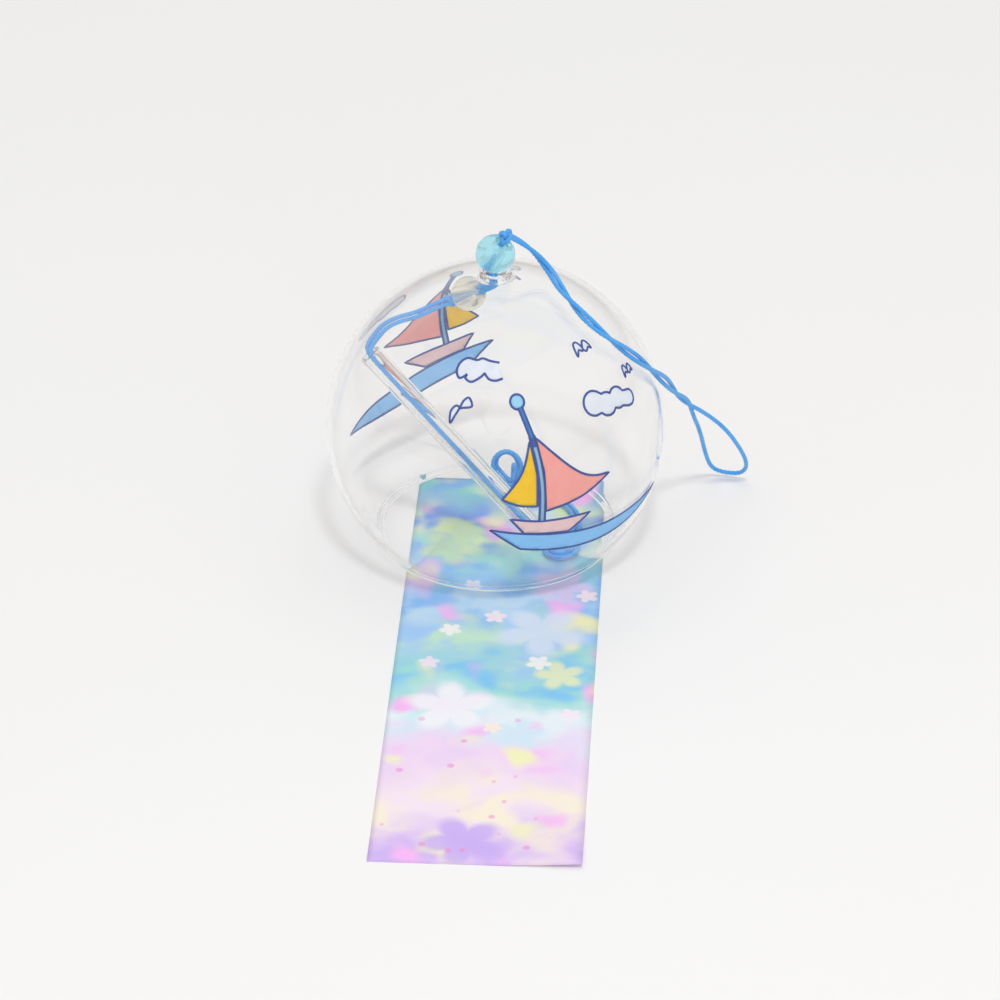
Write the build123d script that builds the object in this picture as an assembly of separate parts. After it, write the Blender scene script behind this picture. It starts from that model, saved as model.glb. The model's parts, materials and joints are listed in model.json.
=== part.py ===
from build123d import *
from math import cos, pi, radians, sin, sqrt, tan
import os

# A furin, a glass wind bell, standing on its mouth over its paper strip.
# Millimetres. +Z is up the globe's axis, -Y is towards the viewer, and the origin is on the
# table, on that axis. One doubled cord makes the hanging loop, carries both beads and the
# clapper tube, and ends in the tie on the paper strip.

# Blown globe
globe_diameter = 80.0
globe_wall = 1.2
mouth_diameter = 56.2
lip_diameter = 2.0
hole_diameter = 5.0
collar_diameter = 7.4
collar_height = 1.2

# Paper strip, its punched hole and the small fold that rides over the tie
strip_width = 46.0
strip_length = 160.0
strip_thickness = 0.3
strip_hole_diameter = 5.0
strip_hole_inset = 5.0
strip_hole_x = 4.1
strip_hole_y = 18.0
strip_yaw = -3.15
tie_fold_room = 0.2

# Beads
outer_bead_diameter = 9.2
outer_bead_bore = 3.0
outer_bead_tilt = 29.0
outer_bead_heading = -36.0
neck_depth = 3.8
stop_bead_diameter = 8.2
stop_bead_bore = 3.0
stop_bead_from_hole = Vector(-6.3, 12.0, -11.3)
stop_bead_axis = Vector(-0.80, 0.35, -0.48).normalized()
bead_edge_round = 0.35

# Clapper tube. Its top leans near the left wall, and its foot stands as far off as its length takes it
tube_diameter = 5.2
tube_bore = 3.0
tube_length = 60.0
tube_end_round = 0.3
tube_foot_height = 4.4
tube_top_angle = 36.57
tube_heading = 175.5
tube_aside = 6.27
tube_wall_room = 2.7

# Cord
cord_diameter = 1.1
strand_spacing = 1.36
twist_spacing = 2.1
twist_step = 90.0
knot_waist = 2.8
top_knot_wraps = 3
small_knot_wraps = 2
knot_grip = 0.5
strip_loop_spread = 1.4
arc_share = 0.45

# Clearances
running_gap = 0.3
bead_seat_gap = 0.7

# Places that follow from those sizes
cord_radius = cord_diameter / 2
globe_radius = globe_diameter / 2
inner_radius = globe_radius - globe_wall
middle_radius = globe_radius - globe_wall / 2
lip_radius = lip_diameter / 2
rim_height = strip_thickness + running_gap
lip_height = rim_height + lip_radius
globe_centre = lip_height + sqrt(middle_radius**2 - (mouth_diameter / 2) ** 2)
globe_top = globe_centre + globe_radius
collar_round = (collar_diameter - hole_diameter) / 4
collar_ring = (collar_diameter + hole_diameter) / 4
collar_ring_height = globe_top + collar_height - collar_round
outer_bead_radius = outer_bead_diameter / 2
bead_reach = outer_bead_radius + collar_round + bead_seat_gap
outer_bead_place = Vector(0, 0, collar_ring_height + sqrt(bead_reach**2 - collar_ring**2))
outer_bead_axis = Vector(
    sin(radians(outer_bead_tilt)) * cos(radians(outer_bead_heading)),
    sin(radians(outer_bead_tilt)) * sin(radians(outer_bead_heading)),
    cos(radians(outer_bead_tilt)),
)
top_knot_half = top_knot_wraps * cord_radius
small_knot_half = small_knot_wraps * cord_radius
knot_radius = knot_waist / 2 + cord_radius
clapper_pivot = Vector(0, 0, globe_top)
stop_bead_place = clapper_pivot + stop_bead_from_hole
strip_hole = Vector(strip_hole_x, strip_hole_y, 0)


def leaning_tube():
    """Foot and top of the tube's axis. The top stands clear of the inner wall, on the heading's side."""
    ahead = Vector(cos(radians(tube_heading)), sin(radians(tube_heading)), 0)
    nearer = Vector(0, 0, 1).cross(ahead)
    reach = sqrt((inner_radius - tube_wall_room) ** 2 - tube_aside**2)
    top_level = reach * cos(radians(tube_top_angle))
    top_height = globe_centre + reach * sin(radians(tube_top_angle))
    run = sqrt(tube_length**2 - (top_height - tube_foot_height) ** 2)
    top = ahead * top_level + nearer * tube_aside + Vector(0, 0, top_height)
    foot = top - ahead * run
    return Vector(foot.X, foot.Y, tube_foot_height), top


tube_foot, tube_top = leaning_tube()
tube_axis = (tube_top - tube_foot).normalized()


def ring_disc(radius, x, z):
    return Pos(x, z) * Circle(radius)


def spun(profile):
    """A profile drawn as (radius, height) turned about +Z."""
    return revolve(Plane.XZ * profile, Axis.Z)


def set_on(shape, place, axis):
    """Move a shape drawn on +Z so that its axis points along the given one."""
    return Plane(origin=place, z_dir=axis).location * shape


def tube_along(points, name):
    """A cord's tube: straight runs joined by the largest tangent arcs that they allow."""
    if len(points) == 2:
        path = Line(*points)
        return sweep(Plane(origin=path @ 0, z_dir=path % 0) * Circle(cord_radius), path=path)
    radii = []
    for before, corner, after in zip(points, points[1:], points[2:]):
        turn = radians((corner - before).get_angle(after - corner))
        shorter = min((corner - before).length, (after - corner).length)
        radii.append(arc_share * shorter / tan(turn / 2))
    path = FilletPolyline(*points, radius=radii)
    tube = sweep(Plane(origin=path @ 0, z_dir=path % 0) * Circle(cord_radius), path=path)
    expected = pi * cord_radius**2 * path.length
    tight = min(radii)
    print(f"{name}: {path.length:.1f} long, tightest {tight:.2f}, volume {tube.volume / expected:.4f}")
    return tube


def beside(points, side, offset):
    """The points of a strand that runs beside a route. The side is carried along without twist."""
    runs = [(after - before).normalized() for before, after in zip(points, points[1:])]
    side = (side - runs[0] * side.dot(runs[0])).normalized()
    moved = [points[0] + side * offset]
    for point, before, after in zip(points[1:], runs, runs[1:]):
        pivot = before.cross(after).normalized()
        inward_before = pivot.cross(before)
        inward_after = pivot.cross(after)
        mitre = (inward_before + inward_after).normalized()
        half_turn = radians(before.get_angle(after)) / 2
        along_pivot = side.dot(pivot)
        inward = side.dot(inward_before)
        moved.append(point + (pivot * along_pivot + mitre * (inward / cos(half_turn))) * offset)
        side = pivot * along_pivot + inward_after * inward
    return moved + [points[-1] + side * offset]


def level_beside(points, side, offset):
    """As beside, for a cord that lies on the strip: its strands stay level with each other."""
    flat = beside([Vector(point.X, point.Y, 0) for point in points], side, offset)
    return [Vector(moved.X, moved.Y, point.Z) for moved, point in zip(flat, points)]


def both_strands(points, side, name, shift=beside):
    """The two strands of the doubled cord, left and right of a route."""
    half = strand_spacing / 2
    return {
        f"{name}_left": tube_along(shift(points, side, -half), f"{name}_left"),
        f"{name}_right": tube_along(shift(points, side, half), f"{name}_right"),
    }


def knot(wraps, place, axis):
    """A pulled-tight knot: wraps of cord about a core."""
    profile = Pos(knot_waist / 4, 0) * Rectangle(knot_waist / 2, (wraps - 1) * cord_diameter)
    for wrap in range(wraps):
        profile += ring_disc(cord_radius, knot_waist / 2, (wrap - (wraps - 1) / 2) * cord_diameter)
    return set_on(spun(profile), place, axis)


def bead(diameter, bore, place, axis):
    """A round bead with a straight bore, its bore edges softened."""
    solid = Sphere(diameter / 2) - Cylinder(bore / 2, 2 * diameter)
    solid = fillet(solid.edges().filter_by(GeomType.CIRCLE), bead_edge_round)
    return set_on(solid, place, axis)


def bead_end(diameter, bore):
    """How far a bead's bored end stands from its middle."""
    return sqrt(diameter**2 - bore**2) / 2


def glass_globe():
    """Thin blown wall, thick fire-polished lip round the mouth, small collar round the hole."""
    wall = Pos(0, globe_centre) * (Circle(globe_radius) - Circle(inner_radius))
    kept = Pos(0, lip_height) * Rectangle(2 * globe_radius, 3 * globe_radius, align=(Align.MIN, Align.MIN))
    profile = wall & kept
    profile += ring_disc(lip_radius, mouth_diameter / 2, lip_height)
    collar_foot = globe_top - globe_wall
    collar_wall = (collar_diameter - hole_diameter) / 2
    collar = Rectangle(collar_wall, collar_ring_height - collar_foot, align=(Align.CENTER, Align.MIN))
    profile += Pos(collar_ring, collar_foot) * collar
    profile += ring_disc(collar_round, collar_ring, collar_ring_height)
    drilled = Rectangle(hole_diameter / 2, 3 * globe_radius, align=(Align.MIN, Align.MIN))
    return spun(profile - Pos(0, globe_centre) * drilled)


def clapper_tube():
    """A cut length of glass tube with melted ends."""
    tube = Cylinder(tube_diameter / 2, tube_length) - Cylinder(tube_bore / 2, tube_length)
    tube = fillet(tube.edges().filter_by(GeomType.CIRCLE), tube_end_round)
    return set_on(tube, (tube_foot + tube_top) / 2, tube_axis)


def on_strip(shape):
    """Place a shape drawn about the punched hole, with +Y towards the strip's near edge."""
    return Pos(strip_hole) * Rot(0, 0, strip_yaw) * shape


def paper_strip():
    """A flat card strip. A small fold at the tied end rides over the cord under it."""
    middle = strip_hole_inset - strip_length / 2
    sheet = Pos(0, middle, strip_thickness / 2) * Box(strip_width, strip_length, strip_thickness)
    room = cord_radius + tie_fold_room
    fold_outside = Rectangle(2 * (room + strip_thickness), room, align=(Align.CENTER, Align.MIN))
    fold_outside += Pos(0, room) * Circle(room + strip_thickness)
    fold_inside = Rectangle(2 * room, room, align=(Align.CENTER, Align.MIN)) + Pos(0, room) * Circle(room)
    above = Rectangle(4 * room, 4 * room, align=(Align.CENTER, Align.MIN))
    back_plane = Plane(origin=(0, strip_hole_inset, 0), x_dir=(1, 0, 0), z_dir=(0, -1, 0))
    outside = extrude(back_plane * (fold_outside & above), strip_hole_inset)
    inside = extrude(back_plane * (fold_inside & above), strip_hole_inset)
    strip = sheet + outside - inside - Cylinder(strip_hole_diameter / 2, 8 * strip_thickness + 4 * room)
    return on_strip(strip)


def strip_tie_route():
    """Down through the punched hole, under the strip's end, up round its edge and back."""
    low = cord_radius + tie_fold_room / 2
    edge = strip_hole_inset
    points = [
        Vector(0, 0.0, strip_knot_height + 0.2),
        Vector(0, 0.5, low + 0.6),
        Vector(0, 1.5, low),
        Vector(0, edge + 1.0, low),
        Vector(0, edge + 2.4, low + 2.2),
        Vector(0, edge + 0.6, low + 4.0),
        Vector(0, edge - 2.4, low + 3.2),
        Vector(0, knot_radius - knot_grip, strip_knot_height + 0.2),
    ]
    return [strip_hole + point.rotate(Axis.Z, strip_yaw) for point in points]


strip_knot_height = rim_height + running_gap + small_knot_half
top_knot_seat = bead_end(outer_bead_diameter, outer_bead_bore) + running_gap + top_knot_half
top_knot_place = outer_bead_place + outer_bead_axis * top_knot_seat
stop_knot_seat = bead_end(stop_bead_diameter, stop_bead_bore) + running_gap + small_knot_half
stop_knot_place = stop_bead_place + stop_bead_axis * stop_knot_seat
foot_knot_place = tube_foot - tube_axis * (running_gap + small_knot_half)
strip_knot_place = strip_hole + Vector(0, 0, strip_knot_height)

# Route of the doubled hanging cord, from the knot over the globe's shoulder to the loop's neck
hanging_route = [
    top_knot_place + outer_bead_axis * (top_knot_half - cord_diameter),
    Vector(7.4, -0.6, 77.6),
    Vector(12.4, 0.6, 70.6),
    Vector(15.4, -5.6, 68.2),
    Vector(19.1, -10.2, 65.4),
    Vector(24.2, -12.6, 61.3),
    Vector(29.4, -12.4, 56.7),
    Vector(34.4, -9.6, 51.3),
    Vector(38.7, -4.2, 44.6),
    Vector(41.7, 1.6, 38.2),
    Vector(44.6, 6.4, 32.6),
]
# The open loop at its end, which hangs down to the table
loop_route = [
    Vector(49.8, 10.6, 26.6),
    Vector(55.0, 13.1, 20.8),
    Vector(59.0, 17.0, 13.0),
    Vector(61.2, 20.6, 6.4),
    Vector(60.2, 23.2, 2.2),
    Vector(56.2, 25.0, 1.3),
    Vector(52.7, 24.6, 2.8),
    Vector(51.0, 21.8, 8.2),
    Vector(49.3, 16.4, 17.8),
    Vector(47.0, 11.0, 26.0),
]
# Route of the doubled cord inside: up the tube, over its edge and through the stop bead to the hole
arch_foot = Vector(-25.6, 2.4, 54.4)
edge_side = (arch_foot - tube_top - tube_axis * (arch_foot - tube_top).dot(tube_axis)).normalized()
inner_route = [
    foot_knot_place + tube_axis * (small_knot_half - knot_grip),
    tube_top - tube_axis * 2.6,
    tube_top + edge_side * 0.15 + tube_axis * 0.2,
    tube_top + edge_side * 1.05 + tube_axis * 1.15,
    tube_top + edge_side * 3.6 + tube_axis * 1.4,
    arch_foot,
    Vector(-22.4, 7.2, 55.0),
    Vector(-18.2, 11.2, 55.2),
    stop_bead_place + stop_bead_axis * 7.4,
    stop_bead_place - stop_bead_axis * 8.4,
    Vector(-0.7, 1.2, 66.1),
    Vector(-0.5, 0.4, 69.5),
]
# Route of the doubled cord on the strip: one flat curl, then round to the tie
curl_centre = Vector(15.8, -11.0, 0)
curl_radius = 3.7
curl_turns = [67.5, 22.5, -22.5, -67.5, -112.5, -157.5, -202.5]
curl_high = 2.7
cord_on_strip = rim_height + cord_radius
lower_route = [foot_knot_place - tube_axis * knot_grip, Vector(12.9, -7.3, curl_high)]
for step, angle in enumerate(curl_turns):
    out = Vector(cos(radians(angle)), sin(radians(angle)), 0) * curl_radius
    drop = (curl_high - cord_on_strip) * step / (len(curl_turns) - 1)
    lower_route.append(curl_centre + out + Vector(0, 0, curl_high - drop))
lower_route += [
    Vector(15.6, -7.4, cord_on_strip),
    Vector(18.9, -4.8, cord_on_strip),
    Vector(19.9, 0.4, cord_on_strip),
    Vector(19.4, 5.8, cord_on_strip),
    Vector(17.0, 10.6, cord_on_strip),
    Vector(12.4, 14.6, cord_on_strip),
    Vector(6.8, 17.2, cord_on_strip + 0.4),
]
# The loose loop that stands up from the tie
strip_loop_route = [
    strip_knot_place + Vector(strip_loop_spread / 2, -knot_grip, small_knot_half - knot_grip),
    Vector(4.8, 17.7, 4.8),
    Vector(5.2, 17.9, 7.0),
    Vector(4.4, 18.1, 9.4),
    Vector(2.6, 18.2, 10.4),
    Vector(0.8, 18.1, 9.4),
    Vector(0.2, 17.9, 7.1),
    Vector(1.6, 17.7, 5.0),
    strip_knot_place + Vector(-strip_loop_spread / 2, -knot_grip, small_knot_half - knot_grip),
]


def twisted_loop():
    """One cord out to the loop and back, its two legs turning round each other."""
    legs = {1: [], -1: []}
    for index, point in enumerate(hanging_route):
        before = hanging_route[max(index - 1, 0)]
        after = hanging_route[min(index + 1, len(hanging_route) - 1)]
        out = (point - Vector(0, 0, globe_centre)).normalized()
        side = (after - before).normalized().cross(out).normalized()
        turn = radians(twist_step * (index + 1))
        for sign in legs:
            legs[sign].append(point + (side * cos(turn) + out * sin(turn)) * (sign * twist_spacing / 2))
    return legs[1] + loop_route + legs[-1][::-1]


def neck_route():
    """Straight down the outer bead's bore, from its knot."""
    start = top_knot_place - outer_bead_axis * (top_knot_half - knot_grip)
    return [start, outer_bead_place - outer_bead_axis * neck_depth]


nodes = {
    "glass_globe": glass_globe(),
    "outer_bead": bead(outer_bead_diameter, outer_bead_bore, outer_bead_place, outer_bead_axis),
    "stop_bead": bead(stop_bead_diameter, stop_bead_bore, stop_bead_place, stop_bead_axis),
    "clapper_tube": clapper_tube(),
    "paper_strip": paper_strip(),
    "top_knot": knot(top_knot_wraps, top_knot_place, outer_bead_axis),
    "stop_knot": knot(small_knot_wraps, stop_knot_place, stop_bead_axis),
    "foot_knot": knot(small_knot_wraps, foot_knot_place, tube_axis),
    "strip_knot": knot(small_knot_wraps, strip_knot_place, Vector(0, 0, 1)),
    "hanging_loop": tube_along(twisted_loop(), "hanging_loop"),
    "strip_tie": tube_along(strip_tie_route(), "strip_tie"),
}
nodes |= both_strands(neck_route(), Vector(0, 1, 0), "neck_strand")
nodes |= both_strands(inner_route, tube_axis.cross(edge_side), "inner_strand")
nodes |= both_strands(lower_route, Vector(0, 1, 0), "lower_strand", level_beside)
nodes |= both_strands(strip_loop_route, Vector(0, 1, 0), "strip_loop")

os.makedirs("parts", exist_ok=True)
for name, shape in nodes.items():
    export_step(shape, f"parts/{name}.step")
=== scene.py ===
# %% [markdown]
# A furin is a glass wind bell. This one stands on its mouth on a table, over its own paper strip.
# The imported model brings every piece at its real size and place, so each Blender piece below is
# built around it, in metres, and rides on the body that carries the real one.

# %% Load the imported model
import bpy
import json
from math import acos, atan2, cos, hypot, pi, radians, sin, sqrt
from mathutils import Matrix, Vector, noise
from mathutils.geometry import delaunay_2d_cdt


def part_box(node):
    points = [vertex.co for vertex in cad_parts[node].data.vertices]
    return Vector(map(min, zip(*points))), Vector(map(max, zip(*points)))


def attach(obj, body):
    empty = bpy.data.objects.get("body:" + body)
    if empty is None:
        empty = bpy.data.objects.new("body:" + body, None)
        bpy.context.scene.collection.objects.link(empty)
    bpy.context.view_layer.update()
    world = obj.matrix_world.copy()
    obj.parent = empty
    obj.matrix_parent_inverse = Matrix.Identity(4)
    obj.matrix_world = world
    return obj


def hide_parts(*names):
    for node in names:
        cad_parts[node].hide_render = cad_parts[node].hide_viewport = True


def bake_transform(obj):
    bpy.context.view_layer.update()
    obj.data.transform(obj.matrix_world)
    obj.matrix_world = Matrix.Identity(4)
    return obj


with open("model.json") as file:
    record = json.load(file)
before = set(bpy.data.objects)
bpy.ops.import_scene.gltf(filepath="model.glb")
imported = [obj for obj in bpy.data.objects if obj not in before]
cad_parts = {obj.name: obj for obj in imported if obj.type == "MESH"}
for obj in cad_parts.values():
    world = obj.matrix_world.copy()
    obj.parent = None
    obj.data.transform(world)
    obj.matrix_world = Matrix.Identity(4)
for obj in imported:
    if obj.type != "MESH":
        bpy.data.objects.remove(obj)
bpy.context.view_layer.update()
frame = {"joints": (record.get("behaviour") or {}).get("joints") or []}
MM = 0.001
joints = {joint["name"]: joint for joint in frame["joints"]}


def joint_line(name):
    """Where a joint stands, and the axis that it turns about."""
    joint = joints[name]
    return Vector(joint["pos_m"]), Vector(joint["axis"]).normalized()


# %% [markdown]
# The photograph looks down on the table at 31 degrees through a long lens, from about a metre.
# A long lens keeps the globe round near the middle of the picture, so the camera repeats that
# distance and lens instead of a wide one held closer.

# %% Camera
camera_elevation = radians(31)
camera_distance = 1050 * MM
camera_lens = 158.4
camera_sensor = 36.0
camera_target = Vector((1.06, 0, 8.53)) * MM
camera_data = bpy.data.cameras.new("camera")
camera_data.lens = camera_lens
camera_data.sensor_width = camera_sensor
camera = bpy.data.objects.new("camera", camera_data)
camera_side = Vector((0, -cos(camera_elevation), sin(camera_elevation)))
camera.location = camera_target + camera_distance * camera_side
camera.rotation_euler = (pi / 2 - camera_elevation, 0, 0)
bpy.context.collection.objects.link(camera)
bpy.context.scene.camera = camera
print("camera stands", [round(value / MM) for value in camera.location], "mm from the bell's foot")

# %% [markdown]
# Node trees are easier to read when each node is one line. The first helper makes a node and takes
# either a plain value or another node's output for each of its inputs. The others name the few
# kinds of node that the finishes below share.

# %% Helpers for materials
def add_node(tree, kind, inputs=None, **settings):
    made = tree.nodes.new(kind)
    for name, value in settings.items():
        setattr(made, name, value)
    for name, value in (inputs or {}).items():
        if isinstance(value, bpy.types.NodeSocket):
            tree.links.new(value, made.inputs[name])
        else:
            made.inputs[name].default_value = value
    return made


def new_material(name):
    material = bpy.data.materials.new(name)
    material.use_nodes = True
    material.node_tree.nodes.clear()
    return material, material.node_tree


def principled(tree, **inputs):
    """The main shader. Its inputs are written with _ for each space."""
    named = {name.replace("_", " "): value for name, value in inputs.items()}
    return add_node(tree, "ShaderNodeBsdfPrincipled", named).outputs[0]


def shader_mix(tree, factor, first, second):
    return add_node(tree, "ShaderNodeMixShader", {0: factor, 1: first, 2: second}).outputs[0]


def finish_material(tree, surface):
    add_node(tree, "ShaderNodeOutputMaterial", {"Surface": surface})


def maths(tree, operation, first, second=0.0, third=0.0):
    inputs = {0: first, 1: second, 2: third}
    return add_node(tree, "ShaderNodeMath", inputs, operation=operation).outputs[0]


def mixed(tree, factor, first, second):
    inputs = {0: factor, 6: first, 7: second}
    return add_node(tree, "ShaderNodeMix", inputs, data_type="RGBA").outputs[2]


def object_place(tree):
    return add_node(tree, "ShaderNodeTexCoord").outputs["Object"]


def speckle(tree, place, scale, detail, distortion=0.0, seed=None):
    """Soft noise from 0 to 1. A seed gives another pattern of the same kind."""
    inputs = {"Vector": place, "Scale": scale, "Detail": detail, "Distortion": distortion}
    if seed is None:
        return add_node(tree, "ShaderNodeTexNoise", inputs).outputs[0]
    inputs["W"] = seed
    return add_node(tree, "ShaderNodeTexNoise", inputs, noise_dimensions="4D").outputs[0]


def relief(tree, height, strength, distance):
    inputs = {"Height": height, "Strength": strength, "Distance": distance}
    return add_node(tree, "ShaderNodeBump", inputs).outputs[0]


def colour_ramp(tree, value, stops, blend="LINEAR"):
    """A run of colours. Each stop is a position and a colour in 0 to 255 screen values."""
    made = add_node(tree, "ShaderNodeValToRGB", {0: value})
    made.color_ramp.interpolation = blend
    elements = made.color_ramp.elements
    for element, (position, colour) in zip(elements, (stops[0], stops[-1])):
        element.position, element.color = position, srgb(*colour)
    for position, colour in stops[1:-1]:
        elements.new(position).color = srgb(*colour)
    return made.outputs[0]


def smooth_step(tree, value, low, high):
    inputs = {"Value": value, "From Min": low, "From Max": high}
    return add_node(tree, "ShaderNodeMapRange", inputs, interpolation_type="SMOOTHSTEP").outputs[0]


def srgb(red, green, blue):
    """A colour written as 0 to 255 screen values, as the linear colour that a shader takes."""
    linear = [(value / 255 / 12.92) if value < 10.3 else ((value / 255 + 0.055) / 1.055) ** 2.4
              for value in (red, green, blue)]
    return (*linear, 1.0)


# %% [markdown]
# Mesh pieces share three builders: one that turns a list of corners into an object, one that closes
# a thin sheet along its edges, and one that turns a closed profile about an axis, as a lathe does.
# Round glass needs many steps, because a bent ray shows every facet that the eye would forgive on
# a painted surface.

# %% Helpers for meshes
def mesh_piece(name, corners, faces, material):
    mesh = bpy.data.meshes.new(name)
    mesh.from_pydata([tuple(corner) for corner in corners], [], faces)
    mesh.materials.append(material)
    mesh.shade_smooth()
    mesh.update()
    piece = bpy.data.objects.new(name, mesh)
    bpy.context.collection.objects.link(piece)
    return piece


def carried(piece, body, slot, node=None):
    """Say which body moves a piece and which node of the model it replaces. The slot, what it is made of, is
    not used.
    """
    if body:
        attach(piece, body)
    if node:
        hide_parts(node)
    return piece


def closed_sheet(name, upper, under, faces, material):
    """A thin piece from the corners of its two sides, closed along every open edge."""
    count = len(upper)
    edges = dict.fromkeys(edge for face in faces for edge in zip(face, face[1:] + face[:1]))
    shell = [tuple(face) for face in faces]
    shell += [tuple(index + count for index in reversed(face)) for face in faces]
    shell += [(b, a, a + count, b + count) for a, b in edges if (b, a) not in edges]
    return mesh_piece(name, upper + under, shell, material)


def arc(centre_r, centre_z, radius, start, end, steps):
    """Points on an arc, with angles in radians from the outward direction."""
    turns = [start + (end - start) * step / steps for step in range(steps + 1)]
    return [(centre_r + radius * cos(turn), centre_z + radius * sin(turn)) for turn in turns]


def axis_frame(place, axis):
    """A matrix that stands a piece drawn on +Z at a place, along an axis."""
    return Matrix.Translation(place) @ axis.to_track_quat("Z", "Y").to_matrix().to_4x4()


def turned(name, profile, steps, material, stand=Matrix.Identity(4), push=None):
    """A closed profile of (radius, height) turned about +Z. push moves a corner along its radius."""
    corners = []
    for step in range(steps):
        angle = 2 * pi * step / steps
        for radius, height in profile:
            corner = Vector((radius * cos(angle), radius * sin(angle), height))
            corners.append(stand @ (corner if push is None else push(corner)))
    count = len(profile)
    faces = []
    for step in range(steps):
        here, there = step * count, (step + 1) % steps * count
        for index in range(count):
            after = (index + 1) % count
            faces.append((here + index, there + index, there + after, here + after))
    return mesh_piece(name, corners, faces, material)


# %% [markdown]
# The cord is thin blue twine of three plies. A smooth tube would look like plastic wire, so a
# three-lobed section turns steadily along the line. The line itself is a NURBS spline whose control
# points keep close to the model's cords, so it falls as a limp cord does, with no sharp corners.

# %% Cord finish
def cord_finish():
    material, tree = new_material("blue_twine")
    place = object_place(tree)
    fibre = speckle(tree, place, 2600.0, 3.0)
    fade = speckle(tree, place, 160.0, 2.0)
    shade = mixed(tree, fibre, srgb(44, 134, 222), srgb(112, 198, 252))
    shade = mixed(tree, smooth_step(tree, fade, 0.35, 0.75), shade, srgb(66, 160, 236))
    rough = maths(tree, "MULTIPLY_ADD", fibre, 0.25, 0.34)
    finish_material(tree, principled(
        tree, Base_Color=shade, Roughness=rough, Normal=relief(tree, fibre, 0.35, 0.1 * MM),
        Sheen_Weight=0.25, Sheen_Roughness=0.4))
    return material


twine = cord_finish()

# %% Cord builder
cord_diameter = 1.1 * MM
cord_radius = cord_diameter / 2
ply_count = 3
ply_depth = 0.2
ply_pitch = 3.2 * MM
cord_sides = 18
ring_spacing = 0.32 * MM
spline_steps = 24


def spline_line(route):
    """Points along one open NURBS spline whose control points are the route's."""
    curve = bpy.data.curves.new("line", "CURVE")
    curve.dimensions = "3D"
    curve.resolution_u = spline_steps
    spline = curve.splines.new("NURBS")
    spline.points.add(len(route) - 1)
    for control, point in zip(spline.points, route):
        control.co = (*point, 1.0)
    spline.order_u = min(3, len(route))
    spline.use_endpoint_u = True
    holder = bpy.data.objects.new("line", curve)
    bpy.context.collection.objects.link(holder)
    bpy.context.view_layer.update()
    mesh = bpy.data.meshes.new_from_object(holder)
    line = [vertex.co.copy() for vertex in mesh.vertices]
    bpy.data.objects.remove(holder)
    bpy.data.curves.remove(curve)
    bpy.data.meshes.remove(mesh)
    return line


def evenly(line, spacing):
    """The line walked in equal steps, so that the twist is steady."""
    lengths = [(after - before).length for before, after in zip(line, line[1:])]
    total = sum(lengths)
    count = max(4, round(total / spacing))
    walked, index, passed = [], 0, 0.0
    for step in range(count + 1):
        wanted = min(total * step / count, total - 1e-9)
        while index < len(lengths) - 1 and passed + lengths[index] < wanted:
            passed += lengths[index]
            index += 1
        share = (wanted - passed) / max(lengths[index], 1e-12)
        walked.append(line[index].lerp(line[index + 1], min(share, 1.0)))
    return walked, total


def run_at(points, index):
    """The way a line runs at one of its points, from the point before to the one after."""
    return points[min(index + 1, len(points) - 1)] - points[max(index - 1, 0)]


def twine_along(name, route, body, node):
    """A three-ply cord along a route. It rides on its body, if one is given."""
    line, length = evenly(spline_line(route), ring_spacing)
    end = len(line) - 1
    ahead = [run_at(line, index).normalized() for index in range(len(line))]
    side = ahead[0].orthogonal().normalized()
    corners = []
    for index, point in enumerate(line):
        side = (side - ahead[index] * side.dot(ahead[index])).normalized()
        across = ahead[index].cross(side)
        twist = 2 * pi * index * length / end / ply_pitch
        for step in range(cord_sides):
            angle = 2 * pi * step / cord_sides
            lobe = 1 - ply_depth * (1 - cos(ply_count * (angle - twist))) / 2
            out = side * cos(angle) + across * sin(angle)
            corners.append(point + out * cord_radius * lobe)
    faces = [(ring * cord_sides + step, ring * cord_sides + (step + 1) % cord_sides,
              (ring + 1) * cord_sides + (step + 1) % cord_sides, (ring + 1) * cord_sides + step)
             for ring in range(end) for step in range(cord_sides)]
    last = end * cord_sides
    faces += [tuple(reversed(range(cord_sides))), tuple(range(last, last + cord_sides))]
    piece = carried(mesh_piece(name, corners, faces, twine), body, "blue_cord", node)
    return piece, line, length


# %% [markdown]
# One doubled cord makes everything: the hanging loop, the stretch through the bead, the two
# strands that carry the clapper, and the tie on the strip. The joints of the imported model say
# where the beads and the tube stand, so the routes start from those places.

# %% Places along the cord
strand_spacing = 1.36 * MM
twist_spacing = 1.56 * MM
loose_twist_spacing = 2.1 * MM
twist_step = radians(90)
outer_bead_radius = 4.6 * MM
stop_bead_radius = 4.1 * MM
bead_bore = 3.0 * MM
tube_length = 60.0 * MM
running_gap = 0.3 * MM
neck_depth = 3.8 * MM
knot_grip = 0.5 * MM
top_knot_half = 3 * cord_radius
small_knot_half = 2 * cord_radius
globe_low, globe_high = (Vector(corner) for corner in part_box("glass_globe"))
globe_radius = (globe_high.x - globe_low.x) / 2
pivot, _ = joint_line("clapper_swing")
globe_centre = pivot - Vector((0, 0, globe_radius))
outer_bead_place, outer_bead_axis = joint_line("outer_bead_spin")
stop_bead_place, stop_bead_axis = joint_line("stop_bead_spin")
tube_foot, tube_axis = joint_line("tube_spin")
tube_top = tube_foot + tube_axis * tube_length
strip_hole, _ = joint_line("strip_swing")


def above_bead(place, axis, radius, knot_half):
    """The middle of a knot that stands against a bead's bore."""
    bore_end = sqrt(radius**2 - (bead_bore / 2) ** 2)
    return place + axis * (bore_end + running_gap + knot_half)


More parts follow.
